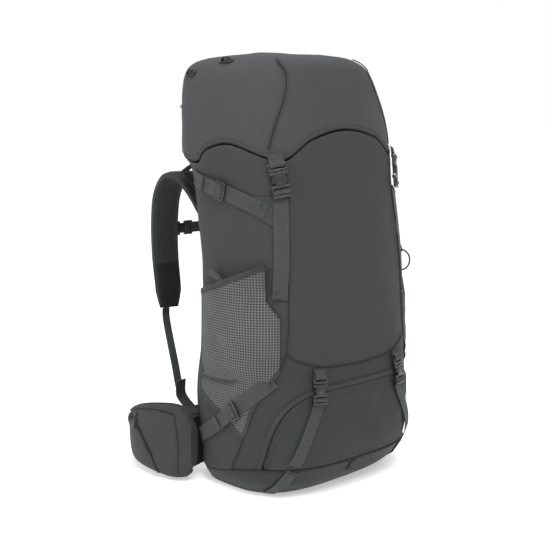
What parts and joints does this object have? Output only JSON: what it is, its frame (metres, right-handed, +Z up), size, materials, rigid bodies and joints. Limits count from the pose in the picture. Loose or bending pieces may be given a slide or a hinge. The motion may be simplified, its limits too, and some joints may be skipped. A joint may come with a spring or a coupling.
{
  "type": "hiking backpack",
  "caption": "Framed hiking backpack with buckled lid, sleeping-bag compartment, mesh side pockets, adjustable harness and padded hip belt",
  "frame": {"origin": "On the flat underside of the base, midway between the sides, on the line where the skin of the bag is drawn round", "axes": "+Z up; -Y is the outer front panel, +Y the harness and wearer; -X the wearer's left"},
  "size_m": [0.4578, 0.4675, 0.7298],
  "materials": {
    "plastic": "semi-gloss moulded acetal",
    "fabric": "charcoal coated nylon weave",
    "dark_fabric": "darker, heavier nylon weave",
    "lining": "thin coated lining",
    "webbing": "woven polyester webbing",
    "mesh": "open stretch mesh",
    "padding": "foam pad under spacer mesh",
    "steel": "sprung steel wire"
  },
  "bodies": {
    "pack": {"back_mesh": "mesh", "back_wall": "lining", "base_panel": "dark_fabric", "collar_drawcord": "webbing", "compartment_buckle_plug_left": "plastic", "compartment_buckle_plug_right": "plastic", "cord_lock": "plastic", "front_panel": "fabric", "front_strap_left": "webbing", "front_strap_right": "webbing", "haul_loop": "webbing", "lower_compression_ladderlock_left": "plastic", "lower_compression_ladderlock_right": "plastic", "lower_compression_strap_left": "webbing", "lower_compression_strap_right": "webbing", "lumbar_pad": "padding", "perimeter_frame": "steel", "side_panel_left": "fabric", "side_panel_right": "fabric", "side_pocket_left": "mesh", "side_pocket_right": "mesh", "snow_collar": "lining", "tool_loop_left": "webbing", "tool_loop_right": "webbing", "upper_compression_ladderlock_left": "plastic", "upper_compression_ladderlock_right": "plastic", "upper_compression_strap_left": "webbing", "upper_compression_strap_right": "webbing"},
    "lid": {"lid_shell": "fabric", "lid_floor": "lining", "lid_buckle_plug_left": "plastic", "lid_buckle_plug_right": "plastic"},
    "compartment_flap": {"compartment_panel": "dark_fabric", "compartment_strap_left": "webbing", "compartment_strap_right": "webbing"},
    "divider": {"floating_divider": "lining"},
    "harness": {"yoke": "padding", "shoulder_strap_left": "padding", "shoulder_strap_right": "padding", "shoulder_ladderlock_left": "plastic", "shoulder_ladderlock_right": "plastic", "shoulder_webbing_left": "webbing", "shoulder_webbing_right": "webbing", "load_lifter_left": "webbing", "load_lifter_right": "webbing"},
    "sternum_strap": {"sternum_socket": "plastic"},
    "sternum_clip": {"sternum_plug": "plastic"},
    "lid_socket_left": {"lid_buckle_socket_left": "plastic"},
    "lower_socket_left": {"compartment_buckle_socket_left": "plastic"},
    "lid_socket_right": {"lid_buckle_socket_right": "plastic"},
    "lower_socket_right": {"compartment_buckle_socket_right": "plastic"},
    "belt_left": {"hip_wing_left": "dark_fabric", "hip_belt_socket": "plastic"},
    "belt_right": {"hip_wing_right": "dark_fabric", "hip_belt_plug": "plastic"},
    "hip_pull_left": {"hip_zip_pull_left": "plastic"},
    "hip_pull_right": {"hip_zip_pull_right": "plastic"},
    "lid_pull": {"lid_zip_pull": "plastic"},
    "flap_pull_upper": {"compartment_zip_pull_upper": "plastic"},
    "flap_pull_lower": {"compartment_zip_pull_lower": "plastic"}
  },
  "joints": [
    {"name": "lid_hinge", "type": "hinge", "parent": "pack", "child": "lid", "pos_m": [0, 0.13974, 0.56648], "axis": [-1, 0, 0], "range_deg": [0, 75]},
    {"name": "lid_release_left", "type": "slide", "parent": "pack", "child": "lid_socket_left", "axis": [0.0851, -0.1798, -0.98], "range_m": [0, 0.03]},
    {"name": "lid_release_right", "type": "slide", "parent": "pack", "child": "lid_socket_right", "axis": [-0.0851, -0.1798, -0.98], "range_m": [0, 0.03]},
    {"name": "compartment_hinge", "type": "hinge", "parent": "pack", "child": "compartment_flap", "pos_m": [0, -0.18396, 0.05923], "axis": [1, 0, 0], "range_deg": [0, 80]},
    {"name": "compartment_release_left", "type": "slide", "parent": "compartment_flap", "child": "lower_socket_left", "axis": [-0.0786, -0.0968, -0.9922], "range_m": [0, 0.03]},
    {"name": "compartment_release_right", "type": "slide", "parent": "compartment_flap", "child": "lower_socket_right", "axis": [0.0786, -0.0968, -0.9922], "range_m": [0, 0.03]},
    {"name": "divider_hinge", "type": "hinge", "parent": "pack", "child": "divider", "pos_m": [0, 0.05866, 0.23506], "axis": [-1, 0, 0], "range_deg": [0, 45]},
    {"name": "torso_adjust", "type": "slide", "parent": "pack", "child": "harness", "axis": [0, 0, 1], "range_m": [-0.025, 0.025], "deforming": ["shoulder_webbing_left", "shoulder_webbing_right", "load_lifter_left", "load_lifter_right"]},
    {"name": "sternum_height", "type": "slide", "parent": "harness", "child": "sternum_strap", "axis": [0, 0, 1], "range_m": [-0.02, 0.02]},
    {"name": "sternum_release", "type": "slide", "parent": "sternum_strap", "child": "sternum_clip", "axis": [1, 0, 0], "range_m": [0, 0.025]},
    {"name": "hip_wing_left", "type": "hinge", "parent": "pack", "child": "belt_left", "pos_m": [-0.179, 0.045, 0.069], "axis": [0, 0, 1], "range_deg": [0, 40]},
    {"name": "hip_wing_right", "type": "hinge", "parent": "pack", "child": "belt_right", "pos_m": [0.179, 0.045, 0.069], "axis": [0, 0, 1], "range_deg": [-40, 0]},
    {"name": "hip_pull_swing_left", "type": "hinge", "parent": "belt_left", "child": "hip_pull_left", "pos_m": [-0.22123, 0.14715, 0.10887], "axis": [0.1471, 0.9891, 0], "range_deg": [0, 70]},
    {"name": "hip_pull_swing_right", "type": "hinge", "parent": "belt_right", "child": "hip_pull_right", "pos_m": [0.22123, 0.14715, 0.10887], "axis": [0.1471, -0.9891, 0], "range_deg": [0, 70]},
    {"name": "lid_pull_swing", "type": "hinge", "parent": "lid", "child": "lid_pull", "pos_m": [0, 0.15339, 0.6351], "axis": [1, 0, 0], "range_deg": [0, 70]},
    {"name": "flap_pull_swing_upper", "type": "hinge", "parent": "pack", "child": "flap_pull_upper", "pos_m": [0.1852, -0.10668, 0.11672], "axis": [-0.2058, -0.9778, 0.0408], "range_deg": [0, 70]},
    {"name": "flap_pull_swing_lower", "type": "hinge", "parent": "pack", "child": "flap_pull_lower", "pos_m": [0.18282, -0.10695, 0.07653], "axis": [-0.2238, -0.9551, -0.1943], "range_deg": [0, 70]}
  ],
  "couplings": [
    {"joint": "hip_wing_right", "follows": "hip_wing_left", "ratio": -1}
  ]
}
